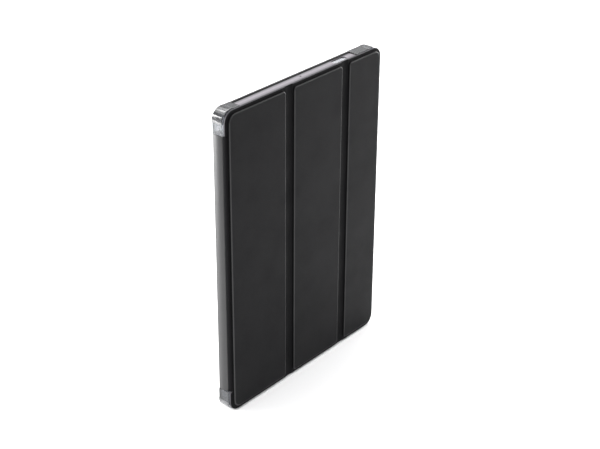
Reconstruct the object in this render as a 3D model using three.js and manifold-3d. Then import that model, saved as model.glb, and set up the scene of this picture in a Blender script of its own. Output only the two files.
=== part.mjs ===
// Tablet folio case: a clear tray with soft corner bumpers, and a three-panel cover on a hinged spine.
// Millimetres, +Z up the height of the case, the cover faces -Y, the spine is on the -X side.
import * as THREE from "three";
import { mergeVertices } from "three/addons/utils/BufferGeometryUtils.js";
import Module from "manifold-3d";

// ---- Driving dimensions -------------------------------------------------------------------------
const CASE_HEIGHT = 257.2; // over the corner bumpers
const HALF_WIDTH = 91.4; // over the corner bumpers
const CASE_DEPTH = 14.7; // cover face to back strip

const CAVITY = { left: -87.0, right: 88.0, low: 2.9, high: 254.3, radius: 8.0 }; // the tablet's space
const CAVITY_DEPTH = 7.8;

const SKIN = 0.7; // PU leather
const BOARD = 1.3; // stiffener board in a cover panel
const SPINE_BOARD = 0.9;
const LINING = 0.5; // microfibre
const GLUE = 0.1; // gap that a glue line fills
const RUN = 0.3; // gap between neighbouring pieces
const PLATE = 1.4; // clear back plate
const LIP = 1.3; // front lip that holds the tablet
const LIP_OVERLAP = 1.2; // how far the lip reaches over the tablet's edge
const WALL = 1.4; // tray walls between the bumpers
const RIM_PROUD = 0.8; // how far the dark rear rim stands past the walls
const COVER_GAP = 0.6; // closed cover to lip
const TAPE = 0.1;

const COVER = { left: -90.4, right: 91.2, low: 0.4, high: 256.8, radius: 8.8 };
const PADS = [
  { left: -86.9, right: -25.45 },
  { left: -15.5, right: 41.5 },
  { left: 50.6, right: 89.0 },
]; // raised, board-filled part of each cover panel
const PAD_BORDER = 2.8; // pad edge to cover edge, top and bottom
const PAD_BEVEL = 0.5;
const FLAP = 1.05; // thin skin beside a pad, before the fold strip starts
const POCKET_INSET = 1.2; // pad edge to board pocket
const BOARD_INSET = 1.5; // pad edge to board

const SPINE = { low: 19.1, high: 238.1, outer: -90.9, radius: 3 }; // radius of the bends beside the spine
const STRIP_RIGHT = -58.0; // the part of the skin that is taped to the back plate

const BUMPER_RADIUS = 9.2;
const BUMPER_LEG = { left: 19.5, right: 27.4, up: 18.8, knuckle: 10.0 }; // corner to leg's end; the proud part
const LEG_STEP = 0.4; // the legs lie this much below the proud corner
const KNUCKLE_FLAT = 3.0; // how far the proud part runs on past the corner's curve, along the top and bottom
const BUMPER_BEVEL = 0.4;
const CUT_EDGE = 0.3; // corner radius of a cut sheet
const STRIP_CORNER = { spine: 0.5, free: 4.0 }; // back strip's corner radii, at the spine and at its free edge
const TAPE_INSET = 1.5; // back strip's edge to the tape's
const FILM = 0.05; // bond line either side of the tape

const CAMERA = { x: 72.0, z: 238.0, side: 20.0, radius: 6.0, rim: 1.6, proud: 0.6 };
const PORT = { x: 0.5, width: 14.0 };
const SPEAKERS = [-33.0, 34.0];
const SPEAKER_WIDTH = 17.0;
const CUT_DEPTH = 5.4; // ports and slots, along Y
const VOLUME = { z: 214.0, length: 27.0 };
const POWER = { x: 47.0, length: 16.0 };
const MICROPHONE = { x: 1.0, radius: 0.8 };

const MAGNET = { radius: 5.0, thickness: 1.1, clearance: 0.3 };
const PANEL_MAGNETS = [
  [],
  [],
  [
    { name: "wake_magnet", x: 78.0, z: 222.0 },
    { name: "closure_magnet_upper", x: 80.0, z: 180.0 },
    { name: "closure_magnet_lower", x: 80.0, z: 76.0 },
  ],
];
const CATCH_PLATE = {
  x: -74.0,
  width: 12.0,
  height: 26.0,
  radius: 1.5,
  thickness: 0.8,
  clearance: 0.3,
  levels: [76.0, 180.0],
};

// ---- Levels along Y, from the cover face to the back strip ---------------------------------------
const FACE = -CASE_DEPTH / 2;
const BORDER_FACE = FACE + BOARD + GLUE; // thin skin beside the pads
const SKIN_BACK = BORDER_FACE + SKIN;
const LINING_FRONT = SKIN_BACK + GLUE;
const LINING_BACK = LINING_FRONT + LINING;
const LIP_FRONT = LINING_BACK + COVER_GAP;
const LIP_BACK = LIP_FRONT + LIP;
const WALL_FRONT = LIP_BACK + GLUE;
const PLATE_FRONT = LIP_BACK + CAVITY_DEPTH;
const WALL_BACK = PLATE_FRONT - GLUE;
const PLATE_BACK = PLATE_FRONT + PLATE;
const STRIP_BACK = CASE_DEPTH / 2;
const STRIP_FRONT = STRIP_BACK - SKIN;
const TAPE_FRONT = STRIP_FRONT - FILM - TAPE;

// ---- Materials -------------------------------------------------------------------------------------
function finish(color, roughness, metalness = 0, opacity = 1) {
  return new THREE.MeshStandardMaterial({ color, roughness, metalness, opacity, transparent: opacity < 1 });
}

const MATERIALS = {
  leather: finish(0x2b2b2d, 0.55),
  microfibre: finish(0x5b5b5f, 0.95),
  board: finish(0x8d8a84, 0.9),
  clearPlastic: finish(0xdfe3e6, 0.12, 0, 0.35),
  frostedWall: finish(0xc9c6cb, 0.4, 0, 0.8),
  softClear: finish(0xb9bcc1, 0.2, 0, 0.5),
  blackTrim: finish(0x1b1a1c, 0.5),
  tape: finish(0xd8d6d0, 0.7),
  magnet: finish(0xa7a9ac, 0.3, 1),
  steel: finish(0x8f9295, 0.35, 1),
};

// ---- Solids ----------------------------------------------------------------------------------------
const wasm = await Module();
wasm.setup();

function toSolid(geometry) {
  const bare = geometry.clone().deleteAttribute("normal").deleteAttribute("uv");
  const merged = mergeVertices(bare, 1e-4);
  const mesh = new wasm.Mesh({
    numProp: 3,
    vertProperties: merged.attributes.position.array,
    triVerts: new Uint32Array(merged.index.array),
  });
  return new wasm.Manifold(mesh);
}

function toGeometry(solid) {
  const mesh = solid.getMesh();
  const geometry = new THREE.BufferGeometry();
  geometry.setAttribute("position", new THREE.BufferAttribute(mesh.vertProperties, mesh.numProp));
  geometry.setIndex(new THREE.BufferAttribute(mesh.triVerts, 1));
  return geometry;
}

function cut(solid, ...tools) {
  return tools.reduce((rest, tool) => rest.subtract(tool), solid);
}

function join(...solids) {
  return solids.reduce((all, one) => all.add(one));
}

// Outline in X and Z with a radius on the left corners and another on the right ones.
function outline(left, low, right, high, leftRadius, rightRadius = leftRadius) {
  const shape = new THREE.Shape();
  shape.moveTo(left + leftRadius, low);
  shape.lineTo(right - rightRadius, low);
  shape.absarc(right - rightRadius, low + rightRadius, rightRadius, -Math.PI / 2, 0, false);
  shape.lineTo(right, high - rightRadius);
  shape.absarc(right - rightRadius, high - rightRadius, rightRadius, 0, Math.PI / 2, false);
  shape.lineTo(left + leftRadius, high);
  shape.absarc(left + leftRadius, high - leftRadius, leftRadius, Math.PI / 2, Math.PI, false);
  shape.lineTo(left, low + leftRadius);
  shape.absarc(left + leftRadius, low + leftRadius, leftRadius, Math.PI, 1.5 * Math.PI, false);
  return shape;
}

// The cavity's outline, grown by an offset.
function trayOutline(grow) {
  const { left, right, low, high, radius } = CAVITY;
  return outline(left - grow, low - grow, right + grow, high + grow, radius + grow);
}

// An outline given its thickness along Y, from front to back.
function slab(shape, front, back, bevel = 0) {
  const geometry = new THREE.ExtrudeGeometry(shape, {
    depth: back - front - 2 * bevel,
    bevelEnabled: bevel > 0,
    bevelThickness: bevel,
    bevelSize: bevel,
    bevelOffset: -bevel,
    bevelSegments: 2,
    curveSegments: 7,
  });
  geometry.rotateX(Math.PI / 2);
  geometry.translate(0, back - bevel, 0);
  return toSolid(geometry);
}

function box(left, front, low, right, back, high) {
  const geometry = new THREE.BoxGeometry(right - left, back - front, high - low);
  geometry.translate((left + right) / 2, (front + back) / 2, (low + high) / 2);
  return toSolid(geometry);
}

// A disc or round hole through the thickness of a panel.
function disc(x, z, radius, front, back) {
  const geometry = new THREE.CylinderGeometry(radius, radius, back - front, 24);
  geometry.translate(x, (front + back) / 2, z);
  return toSolid(geometry);
}

const casing = new THREE.Group();

function place(group, name, solid, material) {
  const mesh = new THREE.Mesh(toGeometry(solid), material);
  mesh.name = name;
  group.add(mesh);
}

// ---- Tray: clear back plate, dark rim, frosted lip and walls --------------------------------------
const PLATE_GROW = 0.4;

function backPlate() {
  const { x, z, side, radius, rim, proud } = CAMERA;
  const half = side / 2;
  const window = (grow) =>
    outline(x - half - grow, z - half - grow, x + half + grow, z + half + grow, radius + grow);
  const plate = slab(trayOutline(PLATE_GROW), PLATE_FRONT, PLATE_BACK);
  const collar = slab(window(rim), PLATE_FRONT + 0.5, PLATE_BACK + proud);
  return cut(join(plate, collar), slab(window(0), PLATE_FRONT - 1, PLATE_BACK + proud + 1));
}

function rearRim() {
  const grow = WALL + RIM_PROUD;
  const { low, right, high, radius } = CAVITY;
  const leftEdge = CAVITY.left - WALL;
  const outer = outline(leftEdge, low - grow, right + grow, high + grow, radius + grow);
  const inner = trayOutline(PLATE_GROW + GLUE);
  return cut(slab(outer, PLATE_FRONT, PLATE_BACK), slab(inner, PLATE_FRONT - 1, PLATE_BACK + 1));
}

function retainingLip() {
  const ring = slab(trayOutline(WALL), LIP_FRONT, LIP_BACK);
  return cut(ring, slab(trayOutline(-LIP_OVERLAP), LIP_FRONT - 1, LIP_BACK + 1));
}

const LEG_END_LEFT = -HALF_WIDTH + BUMPER_LEG.left;
const LEG_END_RIGHT = HALF_WIDTH - BUMPER_LEG.right;
const LEG_END_LOW = BUMPER_LEG.up;
const LEG_END_HIGH = CASE_HEIGHT - BUMPER_LEG.up;
const CUT_MIDDLE = (WALL_FRONT + WALL_BACK) / 2;
const CUT_FRONT = CUT_MIDDLE - CUT_DEPTH / 2;
const CUT_BACK = CUT_MIDDLE + CUT_DEPTH / 2;

// A flat wall of the tray between two bumpers; each opening is [from, to] along the wall.
function trayWall(side, openings) {
  const { left, right, low, high } = CAVITY;
  const walls = {
    top: [LEG_END_LEFT + RUN, high, LEG_END_RIGHT - RUN, high + WALL],
    bottom: [LEG_END_LEFT + RUN, low - WALL, LEG_END_RIGHT - RUN, low],
    right: [right, LEG_END_LOW + RUN, right + WALL, LEG_END_HIGH - RUN],
    left: [left - WALL, LEG_END_LOW + RUN, left, LEG_END_HIGH - RUN],
  };
  const [x0, z0, x1, z1] = walls[side];
  const upright = side === "left" || side === "right";
  const cuts = openings.map(([from, to]) =>
    upright
      ? box(x0 - 1, CUT_FRONT, from, x1 + 1, CUT_BACK, to)
      : box(from, CUT_FRONT, z0 - 1, to, CUT_BACK, z1 + 1),
  );
  return cut(box(x0, WALL_FRONT, z0, x1, WALL_BACK, z1), ...cuts);
}

function span(centre, length) {
  return [centre - length / 2, centre + length / 2];
}

function topWall() {
  const { high } = CAVITY;
  const hole = new THREE.CylinderGeometry(MICROPHONE.radius, MICROPHONE.radius, WALL + 2, 16);
  hole.rotateX(Math.PI / 2);
  hole.translate(MICROPHONE.x, CUT_MIDDLE, high + WALL / 2);
  return cut(trayWall("top", [span(POWER.x, POWER.length)]), toSolid(hole));
}

// One soft corner: a wall round the tablet's corner that also takes in the lip and the rear rim.
function cornerBumper(atRight, atTop) {
  const outer = outline(-HALF_WIDTH, 0, HALF_WIDTH, CASE_HEIGHT, BUMPER_RADIUS);
  const body = cut(
    slab(outer, LIP_FRONT, PLATE_BACK, BUMPER_BEVEL),
    slab(trayOutline(0), LIP_FRONT - 1, PLATE_BACK + 1),
    slab(trayOutline(WALL + GLUE), LIP_FRONT - 1, WALL_FRONT),
    slab(trayOutline(WALL + RIM_PROUD + GLUE), WALL_BACK, PLATE_BACK + 1),
  );
  const x0 = atRight ? LEG_END_RIGHT : -HALF_WIDTH - 1;
  const x1 = atRight ? HALF_WIDTH + 1 : LEG_END_LEFT;
  const z0 = atTop ? LEG_END_HIGH : -1;
  const z1 = atTop ? CASE_HEIGHT + 1 : LEG_END_LOW;
  const corner = body.intersect(box(x0, LIP_FRONT - 1, z0, x1, PLATE_BACK + 1, z1));
  const knuckleX = HALF_WIDTH - BUMPER_RADIUS - KNUCKLE_FLAT;
  const knuckleLow = atTop ? CASE_HEIGHT - BUMPER_LEG.knuckle : BUMPER_LEG.knuckle;
  const sideX = (atRight ? 1 : -1) * (HALF_WIDTH - LEG_STEP);
  const endX = atRight ? HALF_WIDTH + 1 : -HALF_WIDTH - 1;
  const sideStep = box(
    Math.min(sideX, endX),
    LIP_FRONT - 1,
    atTop ? z0 - 1 : knuckleLow,
    Math.max(sideX, endX),
    PLATE_BACK + 1,
    atTop ? knuckleLow : z1 + 1,
  );
  const topZ = atTop ? CASE_HEIGHT - LEG_STEP : 0;
  const topStep = box(
    atRight ? x0 - 1 : -knuckleX,
    LIP_FRONT - 1,
    atTop ? topZ : -1,
    atRight ? knuckleX : x1 + 1,
    PLATE_BACK + 1,
    atTop ? CASE_HEIGHT + 1 : LEG_STEP,
  );
  return cut(corner, sideStep, topStep);
}

const tray = new THREE.Group();
casing.add(tray);
place(tray, "back_plate", backPlate(), MATERIALS.clearPlastic);
place(tray, "rear_rim", rearRim(), MATERIALS.blackTrim);
place(tray, "retaining_lip", retainingLip(), MATERIALS.frostedWall);
place(tray, "top_wall", topWall(), MATERIALS.frostedWall);
const bottomCuts = [span(PORT.x, PORT.width), ...SPEAKERS.map((x) => span(x, SPEAKER_WIDTH))];
place(tray, "bottom_wall", trayWall("bottom", bottomCuts), MATERIALS.frostedWall);
place(tray, "right_wall", trayWall("right", [span(VOLUME.z, VOLUME.length)]), MATERIALS.frostedWall);
place(tray, "left_wall", trayWall("left", []), MATERIALS.frostedWall);
for (const [name, atRight, atTop] of [
  ["top_left", false, true],
  ["top_right", true, true],
  ["bottom_left", false, false],
  ["bottom_right", true, false],
]) {
  place(tray, "corner_bumper_" + name, cornerBumper(atRight, atTop), MATERIALS.softClear);
}

// ---- Back strip: the end of the cover's skin, taped to the plate ----------------------------------
const BEND_X = SPINE.outer + SPINE.radius; // where the bends beside the spine end
const stripOutline = (inset) =>
  outline(
    BEND_X + RUN + inset,
    SPINE.low + inset,
    STRIP_RIGHT - inset,
    SPINE.high - inset,
    STRIP_CORNER.spine,
    STRIP_CORNER.free,
  );
place(tray, "back_strip_skin", slab(stripOutline(0), STRIP_FRONT, STRIP_BACK), MATERIALS.leather);
place(tray, "back_strip_tape", slab(stripOutline(TAPE_INSET), TAPE_FRONT, TAPE_FRONT + TAPE), MATERIALS.tape);

// ---- Spine: skin, board and lining, with a soft bend on each side ----------------------------------
const SPINE_FRONT = BORDER_FACE + SPINE.radius;
const SPINE_REAR = STRIP_BACK - SPINE.radius;
const BEND_GAP = 0.15;

function spineLayer(outerX, thickness, inset) {
  const front = SPINE_FRONT + BEND_GAP + inset;
  const rear = SPINE_REAR - BEND_GAP - inset;
  return box(outerX, front, SPINE.low + inset, outerX + thickness, rear, SPINE.high - inset);
}

// A quarter-round strip of skin along a bend, from angle to angle + 90 degrees about its centre.
function bendStrip(centreX, centreY, startAngle, thickness) {
  const end = startAngle + Math.PI / 2;
  const shape = new THREE.Shape();
  shape.absarc(centreX, centreY, SPINE.radius, startAngle, end, false);
  shape.absarc(centreX, centreY, SPINE.radius - thickness, end, startAngle, true);
  const geometry = new THREE.ExtrudeGeometry(shape, {
    depth: SPINE.high - SPINE.low,
    bevelEnabled: false,
    curveSegments: 6,
  });
  geometry.translate(0, 0, SPINE.low);
  return toSolid(geometry);
}

const spine = new THREE.Group();
casing.add(spine);
const spineBoardX = SPINE.outer + SKIN + GLUE;
const spineLiningX = spineBoardX + SPINE_BOARD + GLUE;
place(spine, "spine_skin", spineLayer(SPINE.outer, SKIN, 0), MATERIALS.leather);
place(spine, "spine_board", spineLayer(spineBoardX, SPINE_BOARD, 0.5), MATERIALS.board);
place(spine, "spine_lining", spineLayer(spineLiningX, LINING - GLUE, 0), MATERIALS.microfibre);
place(spine, "rear_bend_strip", bendStrip(BEND_X, SPINE_REAR, Math.PI / 2, SKIN), MATERIALS.leather);
const frontBend = bendStrip(BEND_X, SPINE_FRONT, Math.PI, SKIN + GLUE + LINING);
place(spine, "front_bend_strip", frontBend, MATERIALS.leather);

// ---- Cover: three raised panels joined by thin fold strips ----------------------------------------
const PAD_LOW = COVER.low + PAD_BORDER;
const PAD_HIGH = COVER.high - PAD_BORDER;
const FOLD_RADIUS = 2.5; // pad corners beside a fold
const OUTER_PAD_RADIUS = COVER.radius - 2;

function panelEdges(index) {
  const pad = PADS[index];
  const first = index === 0;
  const last = index === PADS.length - 1;
  return {
    left: first ? COVER.left : pad.left - FLAP,
    right: last ? COVER.right : pad.right + FLAP,
    leftRadius: first ? COVER.radius : CUT_EDGE,
    rightRadius: last ? COVER.radius : CUT_EDGE,
    padLeftRadius: first ? OUTER_PAD_RADIUS : FOLD_RADIUS,
    padRightRadius: last ? OUTER_PAD_RADIUS : FOLD_RADIUS,
  };
}

// The thin sheet under a panel; the first one is cut back beside the spine's front bend.
function panelSheet(index, front, back) {
  const edges = panelEdges(index);
  const shape = outline(edges.left, COVER.low, edges.right, COVER.high, edges.leftRadius, edges.rightRadius);
  const sheet = slab(shape, front, back);
  if (index > 0) {
    return sheet;
  }
  const bend = box(COVER.left - 1, front - 1, SPINE.low - RUN, BEND_X + BEND_GAP, back + 1, SPINE.high + RUN);
  return cut(sheet, bend);
}

function padOutline(index, inset) {
  const pad = PADS[index];
  const edges = panelEdges(index);
  const radius = (full) => Math.max(full - inset, 1);
  return outline(
    pad.left + inset,
    PAD_LOW + inset,
    pad.right - inset,
    PAD_HIGH - inset,
    radius(edges.padLeftRadius),
    radius(edges.padRightRadius),
  );
}

function panelSkin(index) {
  const pad = slab(padOutline(index, 0), FACE, BORDER_FACE + SKIN / 2, PAD_BEVEL);
  const pocket = slab(padOutline(index, POCKET_INSET), FACE + SKIN, SKIN_BACK + 1);
  return cut(join(panelSheet(index, BORDER_FACE, SKIN_BACK), pad), pocket);
}

const BOARD_FRONT = FACE + SKIN + GLUE / 2;

function panelBoard(index) {
  const board = slab(padOutline(index, BOARD_INSET), BOARD_FRONT, BOARD_FRONT + BOARD);
  const holes = PANEL_MAGNETS[index].map(({ x, z }) =>
    disc(x, z, MAGNET.radius + MAGNET.clearance, BOARD_FRONT - 1, BOARD_FRONT + BOARD + 1),
  );
  if (index === 0) {
    for (const level of CATCH_PLATE.levels) {
      holes.push(catchPlate(level, CATCH_PLATE.clearance, BOARD_FRONT - 1, BOARD_FRONT + BOARD + 1));
    }
  }
  return cut(board, ...holes);
}

function catchPlate(level, grow, front, back) {
  const { x, width, height, radius } = CATCH_PLATE;
  const shape = outline(
    x - width / 2 - grow,
    level - height / 2 - grow,
    x + width / 2 + grow,
    level + height / 2 + grow,
    radius,
  );
  return slab(shape, front, back);
}

PADS.forEach((pad, index) => {
  const panel = new THREE.Group();
  casing.add(panel);
  const name = "panel_" + (index + 1);
  place(panel, name + "_skin", panelSkin(index), MATERIALS.leather);
  place(panel, name + "_board", panelBoard(index), MATERIALS.board);
  place(panel, name + "_lining", panelSheet(index, LINING_FRONT, LINING_BACK), MATERIALS.microfibre);
  for (const { name: magnet, x, z } of PANEL_MAGNETS[index]) {
    const front = BOARD_FRONT + (BOARD - MAGNET.thickness) / 2;
    place(panel, magnet, disc(x, z, MAGNET.radius, front, front + MAGNET.thickness), MATERIALS.magnet);
  }
  if (index === 0) {
    CATCH_PLATE.levels.forEach((level, n) => {
      const front = BOARD_FRONT + (BOARD - CATCH_PLATE.thickness) / 2;
      const plate = catchPlate(level, 0, front, front + CATCH_PLATE.thickness);
      place(panel, ["catch_plate_lower", "catch_plate_upper"][n], plate, MATERIALS.steel);
    });
  }
  if (index < PADS.length - 1) {
    const left = pad.right + FLAP + BEND_GAP;
    const right = PADS[index + 1].left - FLAP - BEND_GAP;
    const strip = slab(outline(left, COVER.low, right, COVER.high, CUT_EDGE), BORDER_FACE, LINING_BACK);
    place(panel, "fold_strip_" + (index + 1), strip, MATERIALS.leather);
  }
});

export default casing;
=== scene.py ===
"""Looks of a tablet folio case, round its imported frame: clear tray, soft corners and three-panel cover."""

import logging
import math
from collections.abc import Sequence
from dataclasses import dataclass, field
from enum import Enum

import bmesh
import bpy
from bpy.types import Material, Node, NodeSocket, NodeTree, Object
from mathutils import Matrix, Vector


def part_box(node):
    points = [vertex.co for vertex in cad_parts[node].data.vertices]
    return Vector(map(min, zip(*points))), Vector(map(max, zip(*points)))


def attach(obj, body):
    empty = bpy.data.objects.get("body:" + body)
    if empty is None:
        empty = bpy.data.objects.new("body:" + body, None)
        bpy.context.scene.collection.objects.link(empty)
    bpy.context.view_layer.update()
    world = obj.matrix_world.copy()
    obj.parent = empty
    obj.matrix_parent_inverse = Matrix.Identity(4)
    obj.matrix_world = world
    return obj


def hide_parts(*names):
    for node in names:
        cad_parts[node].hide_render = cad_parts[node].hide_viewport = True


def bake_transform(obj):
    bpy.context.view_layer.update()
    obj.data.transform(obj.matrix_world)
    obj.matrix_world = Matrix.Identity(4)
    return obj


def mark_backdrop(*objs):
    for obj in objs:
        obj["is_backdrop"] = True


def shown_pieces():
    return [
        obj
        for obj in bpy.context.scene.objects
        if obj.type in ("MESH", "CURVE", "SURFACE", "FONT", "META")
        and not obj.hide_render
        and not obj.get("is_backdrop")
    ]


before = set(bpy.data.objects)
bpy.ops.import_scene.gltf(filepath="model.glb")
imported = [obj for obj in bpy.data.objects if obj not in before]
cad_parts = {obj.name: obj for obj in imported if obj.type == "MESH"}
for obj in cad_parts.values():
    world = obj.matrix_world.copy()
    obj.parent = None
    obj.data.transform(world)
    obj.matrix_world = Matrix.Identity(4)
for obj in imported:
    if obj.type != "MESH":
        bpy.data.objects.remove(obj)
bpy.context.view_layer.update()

LOG = logging.getLogger("tablet_case")
MM = 0.001

Point = tuple[float, float, float]
Flat = tuple[float, float]

BOARD_INSET = 1.5  # a pad's edge to the board inside it, in millimetres as all that follow
SQUARE = 0.05  # the radius that stands for a square corner
GLUE = 0.02  # the bond line between two layers
TOUCH = 0.01  # places closer than this are taken as one
WELD = 0.0001  # points of a mesh closer than this become one
ARC_STEPS = 9  # points on an outline's rounded corner
EDGE_STEPS = 4  # steps round a small edge


# ---- Colour and node helpers ----


def linear(hex_colour: str) -> tuple[float, float, float, float]:
    """Turns an sRGB hex colour to linear light.

    Args:
        hex_colour: Six hex digits, with or without a leading #.

    Returns:
        Linear red, green and blue with an alpha of 1.
    """
    digits = hex_colour.lstrip("#")
    parts = [int(digits[i : i + 2], 16) / 255 for i in (0, 2, 4)]
    red, green, blue = (p / 12.92 if p <= 0.04045 else ((p + 0.055) / 1.055) ** 2.4 for p in parts)
    return (red, green, blue, 1.0)


def add_node(
    tree: NodeTree,
    kind: str,
    settings: dict[str | int, object] | None = None,
    links: dict[str | int, NodeSocket | Node] | None = None,
) -> Node:
    """Adds one shader node.

    Args:
        tree: The node tree it goes in.
        kind: Blender's type name of the node, without its leading ShaderNode.
        settings: Values by input name or number, or by property name where no input has that name.
        links: What to connect, by input name or number: a socket, or a node for its first output.

    Returns:
        The new node.
    """
    node = tree.nodes.new("ShaderNode" + kind)
    for name, value in (settings or {}).items():
        if isinstance(name, int) or name in node.inputs:
            node.inputs[name].default_value = value
        else:
            setattr(node, name, value)
    for name, source in (links or {}).items():
        tree.links.new(source.outputs[0] if isinstance(source, Node) else source, node.inputs[name])
    return node


def set_ramp(node: Node, stops: Sequence[tuple[float, str]]) -> None:
    """Gives a colour ramp its stops.

    Args:
        node: The ramp node.
        stops: Position and sRGB hex colour of each stop, in order.
    """
    elements = node.color_ramp.elements
    while len(elements) < len(stops):
        elements.new(0.5)
    for element, (position, colour) in zip(elements, stops):
        element.position = position
        element.color = linear(colour)


# ---- Finishes ----


@dataclass(frozen=True)
class Finish:
    """One surface finish, made into a material the first time it is asked for."""

    name: str

    def material(self) -> Material:
        """Returns the finish's material, building it once."""
        made = bpy.data.materials.get(self.name)
        if made is None:
            made = bpy.data.materials.new(self.name)
            made.use_nodes = True
            made.node_tree.nodes.clear()
            shader = self.shade(made.node_tree)
            add_node(made.node_tree, "OutputMaterial", links={"Surface": shader})
        return made

    def shade(self, tree: NodeTree) -> Node:
        """Adds the finish's nodes; each kind of finish has its own.

        Args:
            tree: The material's node tree.

        Returns:
            The shader.
        """
        raise NotImplementedError

    @staticmethod
    def place(tree: NodeTree) -> NodeSocket:
        """Returns the object's own coordinates, in metres."""
        return add_node(tree, "TexCoord").outputs["Object"]


@dataclass(frozen=True)
class PuLeather(Finish):
    """Polyurethane leather: coated cloth embossed with a pebble grain. Reads as soft, semi-matte black."""

    colour: str = "#131315"
    pore: str = "#0b0b0c"
    grain_mm: float = 0.6
    wrinkle_mm: float = 22.0
    roughness: float = 0.44
    relief_mm: float = 0.03
    gleam: float = 0.085  # specular level: a soft topcoat reflects less than a hard lacquer

    def shade(self, tree: NodeTree) -> Node:
        """Draws pebbles with darker pores between them, and a slow change of gloss over the sheet.

        Args:
            tree: The material's node tree.

        Returns:
            The shader.
        """
        place = {"Vector": self.place(tree)}
        grain, wrinkle = 1 / (self.grain_mm * MM), 1 / (self.wrinkle_mm * MM)
        cells = {"feature": "SMOOTH_F1", "Scale": grain, "Smoothness": 0.6}
        pebbles = add_node(tree, "TexVoronoi", cells, place)
        fine = add_node(tree, "TexNoise", {"Scale": 2.2 * grain, "Detail": 3.0}, place)
        slow = add_node(tree, "TexNoise", {"Scale": wrinkle, "Detail": 4.0}, place)
        tone = add_node(tree, "ValToRGB", links={"Fac": pebbles})
        set_ramp(tone, [(0.25, self.colour), (0.85, self.pore)])
        spread = {"To Min": self.roughness - 0.05, "To Max": self.roughness + 0.07}
        spread |= {"From Min": 0.3, "From Max": 0.7}
        gloss = add_node(tree, "MapRange", spread, {"Value": slow})
        height = add_node(tree, "Math", {"operation": "MULTIPLY_ADD", 1: 0.35}, {0: fine, 2: pebbles})
        relief = {"Strength": 0.55, "Distance": self.relief_mm * MM, "invert": True}
        bump = add_node(tree, "Bump", relief, {"Height": height})
        return add_node(
            tree, "BsdfPrincipled", {"IOR": 1.46, "Specular IOR Level": self.gleam},
            {"Base Color": tone, "Roughness": gloss, "Normal": bump},
        )


@dataclass(frozen=True)
class Microfibre(Finish):
    """Brushed microfibre: short fibres laid in soft strokes. Reads as a matte grey with a pale bloom."""

    colour: str = "#434347"
    shadow: str = "#2f2f33"
    fibre_mm: float = 0.5
    stroke_mm: float = 14.0

    def shade(self, tree: NodeTree) -> Node:
        """Mixes fine fibres with broad brush strokes, and adds the bloom as sheen.

        Args:
            tree: The material's node tree.

        Returns:
            The shader.
        """
        place = self.place(tree)
        drawn = add_node(tree, "Mapping", {"Scale": (1.0, 1.0, 0.35)}, {"Vector": place})
        short = {"Scale": 1 / (self.fibre_mm * MM), "Detail": 5.0, "Roughness": 0.7}
        fibres = add_node(tree, "TexNoise", short, {"Vector": drawn})
        broad = {"Scale": 1 / (self.stroke_mm * MM), "Detail": 2.0, "Distortion": 1.4}
        strokes = add_node(tree, "TexNoise", broad, {"Vector": place})
        both = add_node(tree, "Math", {"operation": "MULTIPLY"}, {0: fibres, 1: strokes})
        tone = add_node(tree, "ValToRGB", links={"Fac": both})
        set_ramp(tone, [(0.12, self.shadow), (0.42, self.colour)])
        bump = add_node(tree, "Bump", {"Strength": 0.5, "Distance": 0.05 * MM}, {"Height": fibres})
        return add_node(
            tree, "BsdfPrincipled",
            {"Roughness": 0.92, "Specular IOR Level": 0.25, "Sheen Weight": 0.15, "Sheen Roughness": 0.5},
            {"Base Color": tone, "Normal": bump},
        )


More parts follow.
